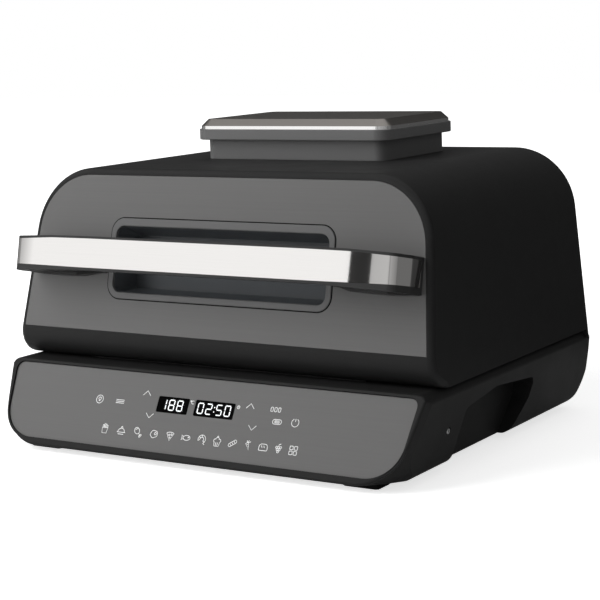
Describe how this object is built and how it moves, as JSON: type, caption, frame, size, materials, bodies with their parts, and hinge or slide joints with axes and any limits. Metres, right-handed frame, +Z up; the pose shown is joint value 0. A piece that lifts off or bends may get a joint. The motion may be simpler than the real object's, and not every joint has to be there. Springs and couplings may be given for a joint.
{
  "type": "air fryer grill",
  "caption": "Countertop air fryer grill: low base with a sloping touch panel and pot, and a tall hinged lid with a bar handle, fan, heating element and raised motor cover.",
  "frame": {"origin": "middle of the footprint, at the level of the table under the feet", "axes": "+Z up, -Y towards the user (control panel and handle), +X to the user's right"},
  "size_m": [0.4288, 0.3644, 0.2788],
  "materials": {
    "shell_plastic": "fine satin moulding",
    "cover_plastic": "matt moulding",
    "fascia_metal": "satin grey with a fine grain",
    "handle_plastic": "satin",
    "recess_plastic": "satin",
    "strip_steel": "brushed along its length",
    "cap_metal": "dark brushed",
    "tray_plastic": "satin moulding",
    "foot_rubber": "matt",
    "window_plastic": "polished",
    "circuit_board": "solder mask",
    "board_plastic": "moulded",
    "contact_metal": "plated",
    "liner_metal": "satin sheet",
    "well_metal": "coated sheet",
    "insulation": "fibre board",
    "fitting_steel": "zinc plated",
    "element_steel": "heat darkened",
    "motor_steel": "grey",
    "wheel_plastic": "moulded",
    "pot_coating": "dark non-stick coating"
  },
  "bodies": {
    "base": {"base_housing": "shell_plastic", "bottom_cover": "cover_plastic", "feet": "foot_rubber", "pot_well": "well_metal", "control_panel": "fascia_metal", "display_windows": "window_plastic", "control_board": "circuit_board", "display_modules": "board_plastic", "touch_contacts": "contact_metal", "power_board": "circuit_board", "board_parts": "board_plastic", "cord_gland": "cover_plastic", "base_hinges": "fitting_steel", "hinge_pins": "fitting_steel", "bottom_screws": "fitting_steel", "side_screws": "fitting_steel", "lid_sensor": "board_plastic"},
    "lid": {"lid_shell": "shell_plastic", "lid_fascia": "fascia_metal", "recess_bezel": "recess_plastic", "recess_cup": "recess_plastic", "handle_frame": "handle_plastic", "handle_strip": "strip_steel", "handle_screws": "fitting_steel", "motor_cover": "shell_plastic", "cap_tray": "tray_plastic", "cover_cap": "cap_metal", "lid_ring": "cover_plastic", "lid_gasket": "foot_rubber", "lid_liner": "liner_metal", "insulation_plate": "insulation", "standoffs": "fitting_steel", "heating_element": "element_steel", "element_clips": "fitting_steel", "fan_guard": "liner_metal", "motor": "motor_steel", "motor_bracket": "fitting_steel", "bracket_screws": "fitting_steel", "thermistor": "fitting_steel", "lid_hinges": "fitting_steel", "lid_magnet": "board_plastic"},
    "fan": {"convection_fan": "liner_metal", "cooling_fan": "wheel_plastic", "fan_shaft": "fitting_steel", "fan_nut": "fitting_steel"},
    "pot": {"cooking_pot": "pot_coating"},
    "grill": {"grill_plate": "pot_coating"}
  },
  "joints": [
    {"name": "lid_hinge", "type": "hinge", "parent": "base", "child": "lid", "pos_m": [0, 0.17, 0.074], "axis": [-1, 0, 0], "range_deg": [0, 78]},
    {"name": "fan_spin", "type": "hinge", "parent": "lid", "child": "fan", "pos_m": [0, 0.054, 0.17], "axis": [0, 0, 1], "continuous": true},
    {"name": "pot_lift", "type": "slide", "parent": "base", "child": "pot", "axis": [0, 0, 1], "range_m": [0, 0.06]},
    {"name": "grill_lift", "type": "slide", "parent": "pot", "child": "grill", "axis": [0, 0, 1], "range_m": [0, 0.04]}
  ]
}
